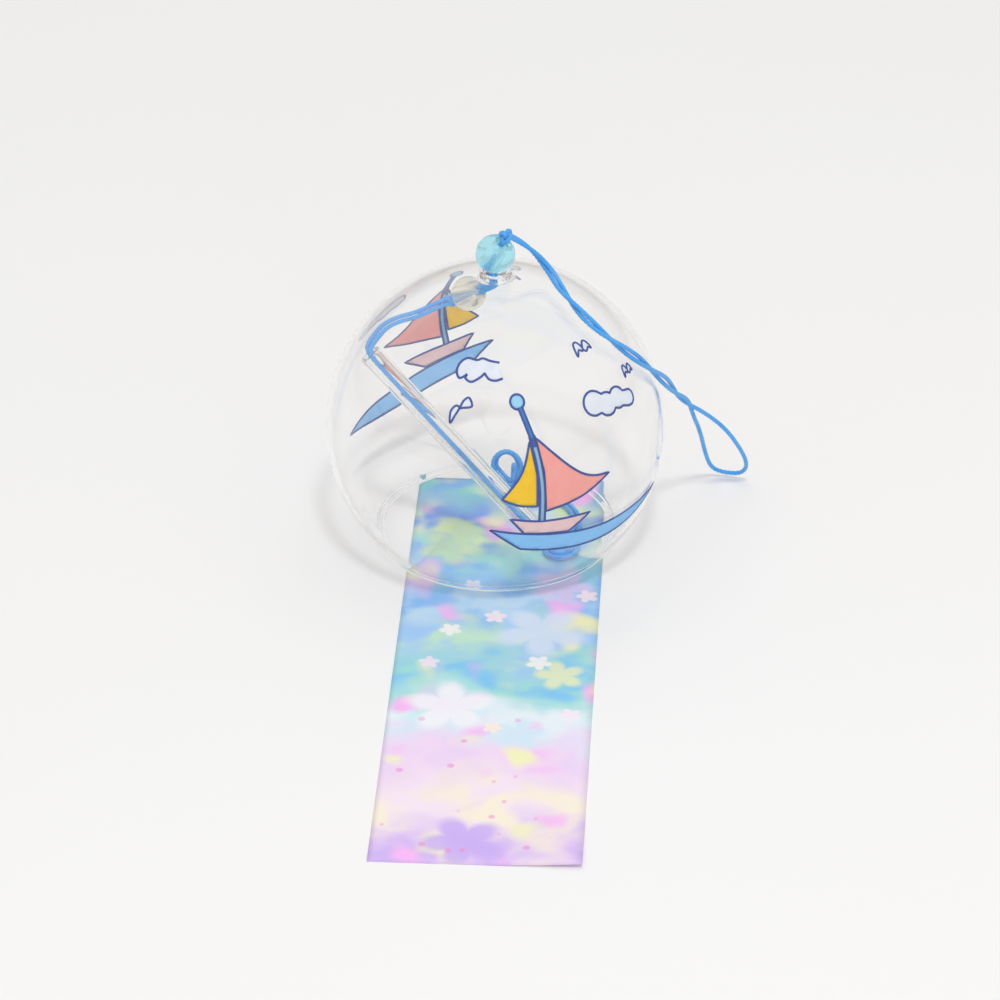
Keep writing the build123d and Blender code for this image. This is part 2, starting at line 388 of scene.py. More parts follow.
top_knot_place = above_bead(outer_bead_place, outer_bead_axis, outer_bead_radius, top_knot_half)
stop_knot_place = above_bead(stop_bead_place, stop_bead_axis, stop_bead_radius, small_knot_half)
foot_knot_place = tube_foot - tube_axis * (running_gap + small_knot_half)
strip_thickness = 0.3 * MM
rim_height = globe_low.z
strip_knot_height = rim_height + running_gap + small_knot_half
strip_knot_place = strip_hole + Vector((0, 0, strip_knot_height))
print("globe", round(2 * globe_radius / MM, 1), "mm across")
print("tube top at", [round(value / MM, 1) for value in tube_top], "mm")


# %% Strands side by side
def beside(points, side, offset):
    """The points of a strand that runs beside a route. The side is carried along without twist."""
    runs = [(after - before).normalized() for before, after in zip(points, points[1:])]
    side = (side - runs[0] * side.dot(runs[0])).normalized()
    moved = [points[0] + side * offset]
    for point, before, after in zip(points[1:], runs, runs[1:]):
        hinge = before.cross(after).normalized()
        inward_before, inward_after = hinge.cross(before), hinge.cross(after)
        mitre = (inward_before + inward_after).normalized()
        along, inward = side.dot(hinge), side.dot(inward_before)
        moved.append(point + (hinge * along + mitre * (inward / cos(before.angle(after) / 2))) * offset)
        side = hinge * along + inward_after * inward
    return moved + [points[-1] + side * offset]


def level_beside(points, side, offset):
    """As beside, for a cord that lies on the strip: its strands stay level with each other."""
    flat = beside([Vector((point.x, point.y, 0)) for point in points], side, offset)
    return [Vector((moved.x, moved.y, point.z)) for moved, point in zip(flat, points)]


def route(*points):
    return [Vector(point) * MM for point in points]


def strand_pair(cord, node, body, strand):
    """The left and right strands of one stretch. strand gives the points on side -1 or 1."""
    return {side: twine_along(f"{cord}_{side}", strand(sign), body, f"{node}_{side}")
            for side, sign in (("left", -1), ("right", 1))}


def pieces_of(cords):
    return [piece for piece, _, _ in cords.values()]


def lengths_of(cords):
    return [round(length / MM, 1) for _, _, length in cords.values()]


# %% The hanging loop
hanging_route = [top_knot_place + outer_bead_axis * (top_knot_half - cord_diameter)] + route(
    (7.4, -0.6, 77.6), (12.4, 0.6, 70.6), (15.4, -5.6, 68.2), (19.1, -10.2, 65.4), (24.2, -12.6, 61.3),
    (29.4, -12.4, 56.7), (34.4, -9.6, 51.3), (38.7, -4.2, 44.6), (41.7, 1.6, 38.2), (44.6, 6.4, 32.6))
loop_route = route(
    (49.8, 10.6, 26.6), (55.0, 13.1, 20.8), (59.0, 17.0, 13.0), (61.2, 20.6, 6.4), (60.2, 23.2, 2.2),
    (56.2, 25.0, 1.3), (52.7, 24.6, 2.8), (51.0, 21.8, 8.2), (49.3, 16.4, 17.8), (47.0, 11.0, 26.0))


def twisted_loop():
    """One cord out to the loop and back, its two legs turning round each other."""
    legs = {1: [], -1: []}
    end = len(hanging_route) - 1
    for index, point in enumerate(hanging_route):
        loose = max(0.0, index / end - 0.5) * 2
        spread = twist_spacing + (loose_twist_spacing - twist_spacing) * loose
        if index == 0:
            spread = twist_spacing / 3
        out = (point - globe_centre).normalized()
        side = run_at(hanging_route, index).normalized().cross(out).normalized()
        turn = twist_step * (index + 1)
        for sign in legs:
            legs[sign].append(point + (side * cos(turn) + out * sin(turn)) * (sign * spread / 2))
    return legs[1] + loop_route + legs[-1][::-1]


hanging_cord = twine_along("hanging_cord", twisted_loop(), "hanger", "hanging_loop")
print("hanging loop", round(hanging_cord[2] / MM, 1), "mm")

# %% The stretch through the bead
neck_start = top_knot_place - outer_bead_axis * (top_knot_half - knot_grip)
neck_end = outer_bead_place - outer_bead_axis * neck_depth
neck_side = Vector((0, 1, 0))
neck_side = (neck_side - outer_bead_axis * neck_side.dot(outer_bead_axis)).normalized()


def neck_strand(sign):
    shift = neck_side * (sign * strand_spacing / 2)
    return [neck_start + shift, (neck_start + neck_end) / 2 + shift, neck_end + shift]


neck_cords = strand_pair("neck_cord", "neck_strand", "hanger", neck_strand)
print("neck strands", lengths_of(neck_cords), "mm")

# %% The strands that carry the clapper
arch_foot = Vector((-25.6, 2.4, 54.4)) * MM
edge_side = (arch_foot - tube_top - tube_axis * (arch_foot - tube_top).dot(tube_axis)).normalized()


def at_tube_top(aside, along):
    return tube_top + edge_side * (aside * MM) + tube_axis * (along * MM)


# Inside the tube the strands lie one behind the other against the bore, and above it side by side
pair_front = Vector((0, 0.857, -0.515))
bore_side = tube_axis.cross(pair_front).normalized() * 0.45 * MM
inner_route = [
    foot_knot_place + tube_axis * (small_knot_half - knot_grip) + bore_side,
    at_tube_top(0, -2.6) + bore_side, at_tube_top(0.15, 0.2), at_tube_top(1.05, 1.15),
    at_tube_top(3.6, 1.4), arch_foot,
    *route((-22.6, 6.9, 53.8), (-18.4, 11.2, 52.7)),
    stop_bead_place + stop_bead_axis * 7.4 * MM, stop_bead_place - stop_bead_axis * 8.4 * MM,
    *route((-0.7, 1.2, 66.1), (-0.5, 0.4, 69.5))]


def paired(points, offset):
    """One strand of the pair: behind the other in the tube, beside it from there to the hole."""
    strand = []
    behind = (pair_front - tube_axis * pair_front.dot(tube_axis)).normalized()
    for index, point in enumerate(points):
        level = run_at(points, index).cross(pair_front).normalized()
        share = min(1.0, max(0.0, (index - 1) / 4))
        strand.append(point + behind.lerp(level, share).normalized() * offset)
    return strand


pair_gap = 1.04
inner_cords = strand_pair("inner_cord", "inner_strand", "clapper",
                          lambda sign: paired(inner_route, sign * pair_gap * cord_radius))
print("inner strands", lengths_of(inner_cords), "mm")

# %% The curl on the strip
curl_centre = Vector((15.8, -11.0, 0)) * MM
curl_radius = 3.7 * MM
curl_turns = [67.5, 22.5, -22.5, -67.5, -112.5, -157.5, -202.5]
curl_high = 2.7 * MM
cord_on_strip = rim_height + cord_radius
lower_route = [foot_knot_place - tube_axis * knot_grip, Vector((12.9 * MM, -7.3 * MM, curl_high))]
for step, degrees_round in enumerate(curl_turns):
    out = Vector((cos(radians(degrees_round)), sin(radians(degrees_round)), 0)) * curl_radius
    drop = (curl_high - cord_on_strip) * step / (len(curl_turns) - 1)
    lower_route.append(curl_centre + out + Vector((0, 0, curl_high - drop)))
for x, y in ((15.6, -7.4), (18.9, -4.8), (19.9, 0.4), (19.4, 5.8), (17.0, 10.6), (12.4, 14.6)):
    lower_route.append(Vector((x * MM, y * MM, cord_on_strip)))
lower_route.append(Vector((6.8 * MM, 17.2 * MM, cord_on_strip + 0.4 * MM)))
# These strands are given no body and stay where they are drawn, and no blend ties them to the tube's swing.
# A blend can't unroll a cord, so one would draw the curl out and press it flat near the swing's end
lower_cords = strand_pair(
    "lower_cord", "lower_strand", None,
    lambda sign: level_beside(lower_route, Vector((0, 1, 0)), sign * strand_spacing / 2))
for piece in pieces_of(lower_cords):
    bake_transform(piece)
print("lower strands", lengths_of(lower_cords), "mm")

# %% The tie on the strip and its standing loop
strip_yaw = radians(-3.15)
tie_fold_room = 0.2 * MM
hole_inset = 5.0 * MM
knot_radius = 1.4 * MM + cord_radius
tie_low = cord_radius + tie_fold_room / 2
tie_points = [
    (0.0, strip_knot_height + 0.2 * MM), (0.5 * MM, tie_low + 0.6 * MM), (1.5 * MM, tie_low),
    (hole_inset + 1.0 * MM, tie_low), (hole_inset + 2.4 * MM, tie_low + 2.2 * MM),
    (hole_inset + 0.6 * MM, tie_low + 4.0 * MM), (hole_inset - 2.4 * MM, tie_low + 3.2 * MM),
    (knot_radius - knot_grip, strip_knot_height + 0.2 * MM)]
turn_strip = Matrix.Rotation(strip_yaw, 3, "Z")
tie_route = [strip_hole + turn_strip @ Vector((0, along, height)) for along, height in tie_points]
tie_cord = twine_along("tie_cord", tie_route, "strip", "strip_tie")[0]
loop_spread = 1.4 * MM
loop_foot = small_knot_half - knot_grip
standing_route = [
    strip_knot_place + Vector((loop_spread / 2, -knot_grip, loop_foot)),
    *route((5.2, 17.7, 4.9), (6.1, 17.9, 7.3), (5.0, 18.1, 10.2), (2.6, 18.2, 11.5), (0.2, 18.1, 10.2),
           (-0.5, 17.9, 7.4), (1.1, 17.7, 5.0)),
    strip_knot_place + Vector((-loop_spread / 2, -knot_grip, loop_foot))]
standing_cords = strand_pair(
    "standing_cord", "strip_loop", "strip",
    lambda sign: beside(standing_route, Vector((-0.45, 0.75, 0.45)), sign * strand_spacing / 2))
print("tie and standing loop made")

# %% [markdown]
# Each knot is a pulled-tight overhand knot. Its path is a trefoil, the curve that an overhand
# knot follows once its ends are joined, drawn small enough that the turns press on each other.

# %% Knots
knot_steps = 24


def tied_knot(node, place, axis, half_height, body, turn=0.0):
    stand = axis_frame(place, axis) @ Matrix.Rotation(turn, 4, "Z")
    reach = knot_radius - cord_radius
    points = []
    for step in range(knot_steps + 1):
        angle = 2 * pi * step / knot_steps
        flat = Vector((sin(angle) + 2 * sin(2 * angle), cos(angle) - 2 * cos(2 * angle), 0))
        lift = -sin(3 * angle) * (half_height - cord_radius)
        points.append(stand @ (flat / 3 * reach + Vector((0, 0, lift))))
    return twine_along(f"{node}_tied", points, body, node)[0]


top_knot = tied_knot("top_knot", top_knot_place, outer_bead_axis, top_knot_half, "hanger", 1.45)
stop_knot = tied_knot("stop_knot", stop_knot_place, stop_bead_axis, small_knot_half, "clapper")
foot_knot = tied_knot("foot_knot", foot_knot_place, tube_axis, small_knot_half, "clapper", 1.0)
strip_knot = tied_knot("strip_knot", strip_knot_place, Vector((0, 0, 1)), small_knot_half, "strip")
print("four knots tied")


# %% Go over each cord's points
def declare(cord):
    piece, line, _ = cord
    tuple(line[0])
    [tuple(point) for point in line]


declare(hanging_cord)
declare(inner_cords["left"])
declare(inner_cords["right"])
declare(lower_cords["left"])
declare(lower_cords["right"])
print("cord points gone over")

# %% [markdown]
# Clear glass is nearly all bent light. The material bends rays for the eye and for reflections,
# and lets lamp light straight through, so that the bell's shadow on the table stays as pale as a
# real thin bubble's. The walls have their true thickness, which is what draws the rim and the edges.

# %% Glass finish
glass_ior = 1.48
edge_shadow = (0.62, 0.61, 0.59, 1)
# Light that has crossed this many surfaces goes straight on, so that glass behind glass stays clear
clear_after = 4.0


def glass_finish(name, tint, roughness, shadow_tint, ripple, body_tint, body_density, clearness=1.0):
    """Glass that bends light, darkens with its thickness and lets lamp light straight through."""
    material, tree = new_material(name)
    wave = speckle(tree, object_place(tree), ripple, 1.0)
    shader = principled(tree, Base_Color=tint, Roughness=roughness, IOR=glass_ior,
                        Transmission_Weight=clearness, Normal=relief(tree, wave, 0.05, 0.4 * MM))
    facing = add_node(tree, "ShaderNodeLayerWeight", {"Blend": 0.5}).outputs["Facing"]
    let_through = mixed(tree, smooth_step(tree, facing, 0.52, 0.97), shadow_tint, edge_shadow)
    clear = add_node(tree, "ShaderNodeBsdfTransparent", {"Color": let_through})
    path = add_node(tree, "ShaderNodeLightPath").outputs
    passes = maths(tree, "MAXIMUM", path["Is Shadow Ray"], path["Is Diffuse Ray"])
    deep = maths(tree, "GREATER_THAN", path["Ray Depth"], clear_after)
    passes = maths(tree, "MAXIMUM", passes, deep)
    both = shader_mix(tree, passes, shader, clear.outputs[0])
    depth = add_node(tree, "ShaderNodeVolumeAbsorption", {"Color": body_tint, "Density": body_density})
    add_node(tree, "ShaderNodeOutputMaterial", {"Surface": both, "Volume": depth.outputs[0]})
    return material


bell_glass = glass_finish("clear_blown_glass", (0.998, 0.998, 0.998, 1), 0.0, (0.997, 0.997, 0.997, 1), 45.0,
                          (0.22, 0.18, 0.16, 1), 6.0)
tube_glass = glass_finish("clear_tube_glass", (0.99, 0.99, 0.99, 1), 0.0, (0.95, 0.955, 0.96, 1), 90.0,
                          (0.25, 0.22, 0.22, 1), 12.0)
bead_glass = glass_finish("clear_bead_glass", srgb(250, 247, 240), 0.14, (0.93, 0.92, 0.9, 1), 300.0,
                          (0.55, 0.42, 0.12, 1), 50.0, 0.86)
aqua_glass = glass_finish("aqua_bead_glass", srgb(200, 246, 254), 0.10, (0.7, 0.92, 0.95, 1), 420.0,
                          (0.05, 0.80, 0.92, 1), 22.0, 0.82)
print("glass finishes ready")

# %% [markdown]
# The bell is one blown bubble. Its section is a thin arc that ends in a thick fire-polished lip at
# the mouth and a small collar round the hole. That section is turned about the axis, and the wall
# is moved in and out by a few hundredths of a millimetre, as blown glass is never quite even.

# %% The bell
globe_wall = 1.2 * MM
mouth_radius = 28.1 * MM
lip_radius = 1.0 * MM
hole_radius = 2.5 * MM
collar_radius = 3.7 * MM
collar_round = (collar_radius - hole_radius) / 2
collar_ring = (collar_radius + hole_radius) / 2
collar_ring_height = globe_high.z - collar_round
lip_height = rim_height + lip_radius
inner_radius = globe_radius - globe_wall
bell_steps, wall_steps, collar_steps, lip_steps = 192, 90, 12, 20


def meets_lip(radius):
    """Angles, on a wall circle and on the lip circle, of the point where the two cross."""
    down = lip_height - globe_centre.z
    apart = hypot(mouth_radius, down)
    share = acos((radius**2 + apart**2 - lip_radius**2) / (2 * radius * apart))
    outside = 1 if radius > apart else -1
    on_wall = atan2(down, mouth_radius) + outside * share
    point_r, point_z = radius * cos(on_wall), globe_centre.z + radius * sin(on_wall)
    return on_wall, atan2(point_z - lip_height, point_r - mouth_radius)


def bell_profile():
    outer_wall, outer_lip = meets_lip(globe_radius)
    inner_wall, inner_lip = meets_lip(inner_radius)
    collar_out = acos(collar_radius / globe_radius)
    hole_in = acos(hole_radius / inner_radius)
    section = arc(0, globe_centre.z, globe_radius, outer_wall, collar_out, wall_steps)
    section += arc(collar_ring, collar_ring_height, collar_round, 0, pi, collar_steps)
    section += arc(0, globe_centre.z, inner_radius, hole_in, inner_wall, wall_steps)
    lip_start = inner_lip if inner_lip > 0 else inner_lip + 2 * pi
    section += arc(mouth_radius, lip_height, lip_radius, lip_start, outer_lip + 2 * pi, lip_steps)[1:-1]
    return section


wall_unevenness = 0.05 * MM
unevenness_scale = 2.3
unevenness_start = Vector((3.1, 0.7, 5.2))
even_above_lip = 8 * MM
even_round_hole = 9 * MM


def blown(corner):
    """Move a corner of the wall in or out a little, the same way through the wall's thickness."""
    out = corner - globe_centre
    sway = noise.noise(out.normalized() * unevenness_scale + unevenness_start)
    fade = min(1.0, max(0.0, (corner.z - lip_height) / even_above_lip))
    fade *= min(1.0, hypot(corner.x, corner.y) / even_round_hole)
    return corner + out.normalized() * (wall_unevenness * sway * fade)


bell = turned("glass_bell", bell_profile(), bell_steps, bell_glass, push=blown)
carried(bell, "globe", "clear_glass", "glass_globe")
print("bell:", len(bell.data.polygons), "faces")

# %% [markdown]
# Beads and tube are turned the same way. A bead is a sphere bored through, with its bore's edges
# softened. The tube is a cut length of glass whose ends were melted round in a flame.

# %% Beads and clapper tube
bead_edge_round = 0.35 * MM
bead_steps, bead_arc_steps, bead_edge_steps, bead_bore_steps = 96, 48, 8, 6


def bead_profile(radius, bore):
    bore_radius = bore / 2
    lift = acos((bore_radius + bead_edge_round) / (radius - bead_edge_round))
    edge_r = bore_radius + bead_edge_round
    edge_z = (radius - bead_edge_round) * sin(lift)
    section = arc(0, 0, radius, -lift, lift, bead_arc_steps)
    section += arc(edge_r, edge_z, bead_edge_round, lift, pi, bead_edge_steps)[1:]
    section += [(bore_radius, edge_z * share / bead_bore_steps)
                for share in range(bead_bore_steps - 1, -bead_bore_steps, -1)]
    section += arc(edge_r, -edge_z, bead_edge_round, pi, 2 * pi - lift, bead_edge_steps)[:-1]
    return section


for name, node, radius, place, axis, glass, slot in (
        ("aqua_bead", "outer_bead", outer_bead_radius, outer_bead_place, outer_bead_axis,
         aqua_glass, "aqua_glass"),
        ("clear_bead", "stop_bead", stop_bead_radius, stop_bead_place, stop_bead_axis,
         bead_glass, "clear_bead")):
    piece = turned(name, bead_profile(radius, bead_bore), bead_steps, glass, axis_frame(place, axis))
    carried(piece, node, slot, node)
tube_radius, tube_bore_radius, tube_end_round = 2.6 * MM, 1.5 * MM, 0.3 * MM
tube_steps, tube_rings, tube_end_steps = 64, 40, 6


def tube_profile():
    low, high = tube_end_round, tube_length - tube_end_round
    outer, inner = tube_radius - tube_end_round, tube_bore_radius + tube_end_round
    heights = [low + (high - low) * share / tube_rings for share in range(tube_rings + 1)]
    section = [(tube_radius, height) for height in heights]
    section += arc(outer, high, tube_end_round, 0, pi / 2, tube_end_steps)[1:]
    section += arc(inner, high, tube_end_round, pi / 2, pi, tube_end_steps)
    section += [(tube_bore_radius, height) for height in heights[-2::-1]]
    section += arc(inner, low, tube_end_round, pi, 3 * pi / 2, tube_end_steps)[1:]
    section += arc(outer, low, tube_end_round, 3 * pi / 2, 2 * pi, tube_end_steps)[:-1]
    return section


tube_stand = axis_frame(tube_foot, tube_axis)
clapper = turned("clapper_glass_tube", tube_profile(), tube_steps, tube_glass, tube_stand)
carried(clapper, "tube", "clear_glass", "clapper_tube")
print("beads and tube made")

# %% [markdown]
# The figures are flat screen-printed paint on the outside of the glass: sailing boats on a wave,
# clouds and gulls. Each figure is drawn flat, in millimetres, and then wrapped on the globe round
# its own middle, so that it keeps its size. Fills and outlines are thin films of paint with a real
# thickness, because a film that lies exactly in the glass would flicker.

# %% Paint
glow_share = 0.45


def paint_finish(name, colour, darker):
    material, tree = new_material(name)
    cover = speckle(tree, object_place(tree), 420.0, 3.0)
    shade = mixed(tree, smooth_step(tree, cover, 0.3, 0.8), srgb(*colour), srgb(*darker))
    shader = principled(tree, Base_Color=shade, Roughness=0.42)
    glow = add_node(tree, "ShaderNodeBsdfTranslucent", {"Color": shade}).outputs[0]
    finish_material(tree, shader_mix(tree, glow_share, shader, glow))
    return material


paints = {paint: paint_finish(name, colour, darker) for paint, name, colour, darker in (
    ("line", "navy_line_paint", (104, 128, 198), (94, 116, 188)),
    ("yellow", "yellow_sail_paint", (255, 226, 76), (255, 220, 64)),
    ("salmon", "salmon_sail_paint", (255, 200, 192), (255, 192, 184)),
    ("hull", "hull_paint", (250, 228, 228), (246, 220, 220)),
    ("wave", "wave_paint", (176, 224, 254), (166, 218, 252)),
    ("mast", "mast_paint", (192, 238, 255), (184, 232, 254)),
    ("pole", "pole_paint", (104, 168, 240), (94, 158, 234)),
    ("cloud", "cloud_paint", (248, 251, 255), (243, 247, 254)),
    ("white", "white_wing_paint", (248, 250, 255), (242, 246, 253)),
)}
# Where each layer of paint starts and ends over the glass, in millimetres. A line is thicker than
# the fill on both sides, so it shows from outside and, through the glass, from inside. A core starts
# just under the surface, because the wide flat bar round it sags by about as much at its middle.
layers = {
    "fill": (0.020, 0.050), "line": (0.012, 0.090), "bar": (0.004, 0.120), "core": (-0.012, 0.150)}
line_width, gull_line_width = 0.55, 0.5
fill_grid, small_fill_grid = 1.2, 0.8
print("paints:", ", ".join(paints))


# %% Wrap a flat drawing on the globe
def wrapper(longitude, latitude, roll, size=1.0):
    """A function that takes flat millimetres to the globe, round a middle seen from outside."""
    lon, lat, spin = radians(longitude), radians(latitude), radians(roll)
    out = Vector((cos(lat) * sin(lon), -cos(lat) * cos(lon), sin(lat)))
    east = Vector((cos(lon), sin(lon), 0))
    north = out.cross(east)

    def wrap(x, y, height):
        across, along = x * cos(spin) - y * sin(spin), x * sin(spin) + y * cos(spin)
        distance = hypot(across, along) * size * MM
        turn = distance / globe_radius
        toward = (east * across + north * along).normalized() if distance else east
        return globe_centre + (out * cos(turn) + toward * sin(turn)) * (globe_radius + height)

    return wrap


def curve_through(points, closed=False, steps=8):
    """A smooth line through a few points of a drawing."""
    count = len(points)
    spans = count if closed else count - 1
    line = []
    for span in range(spans):
        near = [points[(span + k) % count] if closed else points[min(max(span + k, 0), count - 1)]
                for k in (-1, 0, 1, 2)]
        for step in range(steps):
            t = step / steps
            line.append(tuple(
                0.5 * (2 * b + (c - a) * t + (2 * a - 5 * b + 4 * c - d) * t**2
                       + (3 * b - a - 3 * c + d) * t**3)
                for a, b, c, d in zip(*near)))
    return line if closed else line + [points[-1]]


def straight(*points, spacing=1.0):
    """Straight edges, cut short enough to follow the globe."""
    line = []
    for (ax, ay), (bx, by) in zip(points, points[1:]):
        count = max(1, round(hypot(bx - ax, by - ay) / spacing))
        line += [(ax + (bx - ax) * k / count, ay + (by - ay) * k / count) for k in range(count)]
    return line + [points[-1]]


# %% Films of paint
def film(name, wrap, corners, faces, paint, layer):
    """A thin closed film on the glass from flat corners and faces."""
    low, high = (height * MM for height in layers[layer])
    upper, under = ([wrap(x, y, height) for x, y in corners] for height in (high, low))
    carried(closed_sheet(name, upper, under, faces, paints[paint]), "globe", "clear_glass")


def fill(name, wrap, outline, paint, grid=fill_grid):
    """A filled shape. Points inside it keep its triangles small enough to follow the globe."""
    outline = [Vector(point) for point in outline]
    xs, ys = [p.x for p in outline], [p.y for p in outline]
    inside = [Vector((min(xs) + grid * i, min(ys) + grid * j))
              for i in range(1, int((max(xs) - min(xs)) / grid) + 1)
              for j in range(1, int((max(ys) - min(ys)) / grid) + 1)]
    rim = [(i, (i + 1) % len(outline)) for i in range(len(outline))]
    corners, _, faces, *_ = delaunay_2d_cdt(outline + inside, rim, [], 1, 1e-5)
    used = sorted({index for face in faces for index in face})
    place = {index: number for number, index in enumerate(used)}
    kept = [[place[index] for index in face] for face in faces]
    film(name, wrap, [tuple(corners[index]) for index in used], kept, paint, "fill")


def ribbon(name, wrap, line, paint="line", width=line_width, closed=False, layer="line"):
    """A painted line of even width along a flat path."""
    count = len(line)
    corners = []
    for index, (x, y) in enumerate(line):
        before = line[index - 1] if closed or index else line[index]
        after = line[(index + 1) % count] if closed or index < count - 1 else line[index]
        dx, dy = after[0] - before[0], after[1] - before[1]
        size = hypot(dx, dy) or 1.0
        corners += [(x - dy / size * width / 2, y + dx / size * width / 2),
                    (x + dy / size * width / 2, y - dx / size * width / 2)]
    faces = []
    for index in range(count if closed else count - 1):
        after = (index + 1) % count
        faces.append([2 * index + 1, 2 * after + 1, 2 * after, 2 * index])
    film(name, wrap, corners, faces, paint, layer)


# %% A sailing boat on its wave
def boat(name, longitude, latitude, roll, size=1.0):
    wrap = wrapper(longitude, latitude, roll, size)
    wave_top = curve_through([
        (-11.8, -2.4), (-6.0, -3.4), (5.0, -5.2), (16.0, -6.7), (27.0, -7.2), (38.5, -8.2)])
    wave_low = curve_through([(38.5, -8.2), (27.0, -10.9), (16.5, -11.6), (5.3, -10.3), (-4.5, -8.5)])
    wave = wave_top + wave_low[1:] + straight((-4.5, -8.5), (-11.8, -2.4))[1:-1]
    hull_top = curve_through([(-7.2, 0.7), (0.5, -0.6), (12.5, -1.2)])
    hull = hull_top + straight((12.5, -1.2), (6.9, -5.1), (-3.9, -3.6), (-7.2, 0.7))[1:-1]
    left_edge = curve_through([(-1.9, 19.6), (-4.3, 12.2), (-9.1, 5.9)])
    left_sail = left_edge + curve_through([(-9.1, 5.9), (-5.2, 4.2), (-0.9, 3.6)])[1:]
    left_sail += straight((-0.9, 3.6), (-0.7, 11.6), (-1.9, 19.6))[1:-1]
    right_edge = curve_through([(-0.5, 20.2), (8.0, 11.6), (13.0, 8.4), (18.1, 7.5)])
    right_sail = right_edge + curve_through([(18.1, 7.5), (10.4, 4.0), (1.1, 2.0)])[1:]
    right_sail += straight((1.1, 2.0), (0.9, 12.0), (-0.5, 20.2))[1:-1]
    mast = curve_through([(0.2, -0.4), (0.35, 8.0), (-0.2, 14.5), (-1.3, 20.6)])
    pole = straight((-1.1, 19.8), (-3.3, 27.4))
    ball = arc(-3.8, 28.7, 1.75, 0, 2 * pi, 28)[:-1]
    for part, outline, paint in (
            ("wave", wave, "wave"), ("hull", hull, "hull"), ("left_sail", left_sail, "yellow"),
            ("right_sail", right_sail, "salmon"), ("ball", ball, "mast")):
        fill(f"{name}_{part}", wrap, outline, paint)
        ribbon(f"{name}_{part}_line", wrap, outline, closed=True)
    core_width = 0.7
    for part, bar, core, bar_width in (("mast", mast, mast[:-4], 1.8), ("pole", pole, pole, 1.5)):
        ribbon(f"{name}_{part}_line", wrap, bar, width=bar_width, layer="bar")
        ribbon(f"{name}_{part}", wrap, core, part, core_width, layer="core")


boat("near_boat", 15.2, -3.8, 0.0)
boat("far_boat", -162.3, 2.8, -9.4, 0.97)
print("two boats painted")


# %% Clouds and gulls
def cloud_outline(bumps, steps=72):
    """The outer edge of a bunch of round bumps, walked round their middle."""
    line = []
    for step in range(steps):
        angle = 2 * pi * step / steps
        dx, dy = cos(angle), sin(angle)
        reach = 0.4
        for x, y, radius in bumps:
            along = x * dx + y * dy
            spare = radius**2 - (x * dy - y * dx) ** 2
            if spare > 0:
                reach = max(reach, along + sqrt(spare))
        line.append((reach * dx, reach * dy))
    return line


def cloud(name, longitude, latitude, roll, outline, paint, grid, closed):
    wrap = wrapper(longitude, latitude, roll)
    fill(f"{name}_fill", wrap, outline, paint, grid)
    ribbon(f"{name}_line", wrap, outline, closed=closed)


round_line = cloud_outline([(-4.4, 0.0, 2.9), (-0.6, -0.6, 2.7), (3.0, 0.5, 2.5), (6.8, 0.2, 2.0)])
round_cloud = (round_line, "cloud", fill_grid, True)
# The line of an open cloud trails off on its right
open_line = curve_through([(4.3, 1.7), (2.2, 1.9), (0.4, 2.4), (-0.9, 1.9), (-3.0, 2.3), (-4.6, 1.2),
                           (-5.3, -0.9), (-4.5, -2.6), (-2.8, -1.7)])
open_line += curve_through([(-2.8, -1.7), (-3.1, -2.6), (-1.7, -3.4), (0.2, -2.3), (1.2, -1.2)])[1:]
open_line += curve_through([(1.2, -1.2), (2.3, -2.5), (3.9, -2.7), (5.4, -2.0)])[1:]
open_cloud = (open_line, "white", small_fill_grid, False)
raised_wings = [[(0, 0.1), (-0.45, 0.75), (-0.9, 0.5), (-0.95, -0.7), (-0.55, -0.1), (-0.15, -0.25)],
                [(0, 0), (0.3, -0.35), (0.7, 0), (1.05, -0.1), (0.75, 0.6), (0.35, 0.75)]]
gliding_wings = [[(0, 0), (-0.1, 0.3), (-0.65, 0.22), (-1.2, -0.36), (-0.6, -0.2)],
                 [(0.05, -0.03), (0.2, -0.16), (0.76, -0.5), (1.0, 0.1), (0.58, 0.2)]]


def gull(name, longitude, latitude, roll, size, wings):
    """Two leaf-shaped wings that meet in the middle."""
    wrap = wrapper(longitude, latitude, roll)
    for side, wing in zip(("left_wing", "right_wing"), wings):
        outline = curve_through([(x * size, y * size) for x, y in wing], closed=True, steps=6)
        fill(f"{name}_{side}", wrap, outline, "white", small_fill_grid)
        ribbon(f"{name}_{side}_line", wrap, outline, closed=True, width=gull_line_width)


cloud("right_cloud", 48.3, 29.6, -15, *round_cloud)
cloud("left_cloud", -7.6, 48.7, 0, *open_cloud)
gull("left_gull", -14.4, 34.8, 48, 3.2, gliding_wings)
gull("right_gull", 49.4, 48.9, -12, 2.4, raised_wings)
gull("edge_gull", 66.4, 33.8, -16, 1.9, raised_wings)
# The print comes round again behind the far boat, where the camera sees it nearly edge on
cloud("far_cloud", -126.0, 30.0, -32, *round_cloud)
cloud("far_open_cloud", 178.5, 48.0, -10, *open_cloud)
gull("far_gull", 173.4, 38.1, 20, 2.4, gliding_wings)
print("clouds and gulls painted")

# %% [markdown]
# The strip is smooth card with a soft printed wash. The wash is built in the shader from the
# strip's own flat coordinates: bands of pastel that noise pushes about, then loose five-petal
# blossoms, then small petals near its foot.

# %% Strip sheet
strip_width = 46.0 * MM
strip_length = 160.0 * MM
strip_hole_radius = 2.5 * MM
strip_hole_steps = 40
sheet_grid = 1.6 * MM
fine_grid = 0.45 * MM
fold_height = 1.5 * MM
fold_half_width = 1.5 * MM
corner_lift = 1.1 * MM
corner_reach = 26 * MM


